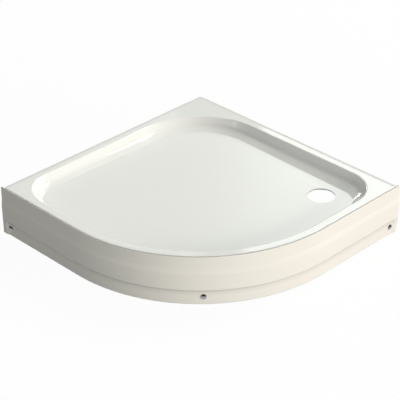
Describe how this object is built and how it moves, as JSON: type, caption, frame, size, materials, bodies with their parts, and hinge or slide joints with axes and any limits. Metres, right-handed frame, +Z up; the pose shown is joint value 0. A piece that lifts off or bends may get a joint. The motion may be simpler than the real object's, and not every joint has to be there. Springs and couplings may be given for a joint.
{
  "type": "shower tray",
  "caption": "White quarter-round corner shower tray with a shallow basin, an off-centre drain hole, a curved stepped apron and a steel frame on levelling feet.",
  "frame": {"origin": "on the floor, under the middle of the square that the tray stands in", "axes": "+Z up; the walls are at -X and +Y, the round front faces +X and -Y, the drain is in the +X +Y corner"},
  "size_m": [0.9, 0.9, 0.174],
  "materials": {
    "tray_acrylic": "high gloss",
    "apron_plastic": "gloss",
    "glass_fibre": "rough resin with glass strands",
    "board": "pressed chips",
    "frame_steel": "satin powder coat",
    "galvanised_steel": "zinc spangle",
    "zinc_steel": "bright zinc",
    "spring_steel": "satin",
    "cap_chrome": "mirror",
    "cup_plastic": "satin",
    "plug_plastic": "matt",
    "pad_plastic": "matt"
  },
  "bodies": {
    "tray": {"tray_shell": "tray_acrylic", "backing_laminate": "glass_fibre", "floor_board": "board", "apron_panel": "apron_plastic", "apron_screws": "zinc_steel", "screw_cups": "cup_plastic", "screw_caps": "cap_chrome", "hanger_screws": "zinc_steel", "apron_clips": "spring_steel", "rail_screws": "zinc_steel", "rail_end_plugs": "plug_plastic", "foot_sockets": "galvanised_steel", "foot_lock_nuts": "zinc_steel", "wall_clips": "galvanised_steel", "apron_hanger_left": "galvanised_steel", "apron_hanger_front": "galvanised_steel", "apron_hanger_right": "galvanised_steel", "rail_left": "frame_steel", "rail_right": "frame_steel", "cross_rail_middle": "frame_steel", "cross_rail_side": "frame_steel"},
    "pad_1": {"foot_pad_1": "pad_plastic"},
    "stud_1": {"foot_stud_1": "zinc_steel"},
    "pad_2": {"foot_pad_2": "pad_plastic"},
    "stud_2": {"foot_stud_2": "zinc_steel"},
    "pad_3": {"foot_pad_3": "pad_plastic"},
    "stud_3": {"foot_stud_3": "zinc_steel"},
    "pad_4": {"foot_pad_4": "pad_plastic"},
    "stud_4": {"foot_stud_4": "zinc_steel"},
    "pad_5": {"foot_pad_5": "pad_plastic"},
    "stud_5": {"foot_stud_5": "zinc_steel"}
  },
  "joints": [
    {"name": "foot_1_raise", "type": "slide", "parent": "tray", "child": "pad_1", "axis": [0, 0, -1], "range_m": [0, 0.02]},
    {"name": "foot_1_turn", "type": "hinge", "parent": "pad_1", "child": "stud_1", "pos_m": [-0.295, -0.31639, 0.02], "axis": [0, 0, -1], "range_deg": [0, 4115]},
    {"name": "foot_2_raise", "type": "slide", "parent": "tray", "child": "pad_2", "axis": [0, 0, -1], "range_m": [0, 0.02]},
    {"name": "foot_2_turn", "type": "hinge", "parent": "pad_2", "child": "stud_2", "pos_m": [-0.295, 0.25377, 0.02], "axis": [0, 0, -1], "range_deg": [0, 4115]},
    {"name": "foot_3_raise", "type": "slide", "parent": "tray", "child": "pad_3", "axis": [0, 0, -1], "range_m": [0, 0.02]},
    {"name": "foot_3_turn", "type": "hinge", "parent": "pad_3", "child": "stud_3", "pos_m": [0.122, -0.26449, 0.02], "axis": [0, 0, -1], "range_deg": [0, 4115]},
    {"name": "foot_4_raise", "type": "slide", "parent": "tray", "child": "pad_4", "axis": [0, 0, -1], "range_m": [0, 0.02]},
    {"name": "foot_4_turn", "type": "hinge", "parent": "pad_4", "child": "stud_4", "pos_m": [0.122, 0.30935, 0.02], "axis": [0, 0, -1], "range_deg": [0, 4115]},
    {"name": "foot_5_raise", "type": "slide", "parent": "tray", "child": "pad_5", "axis": [0, 0, -1], "range_m": [0, 0.02]},
    {"name": "foot_5_turn", "type": "hinge", "parent": "pad_5", "child": "stud_5", "pos_m": [0.31574, 0.061, 0.02], "axis": [0, 0, -1], "range_deg": [0, 4115]}
  ],
  "couplings": [
    {"joint": "foot_1_turn", "follows": "foot_1_raise", "rad_per_m": 3590.4},
    {"joint": "foot_2_turn", "follows": "foot_2_raise", "rad_per_m": 3590.4},
    {"joint": "foot_3_turn", "follows": "foot_3_raise", "rad_per_m": 3590.4},
    {"joint": "foot_4_turn", "follows": "foot_4_raise", "rad_per_m": 3590.4},
    {"joint": "foot_5_turn", "follows": "foot_5_raise", "rad_per_m": 3590.4}
  ]
}
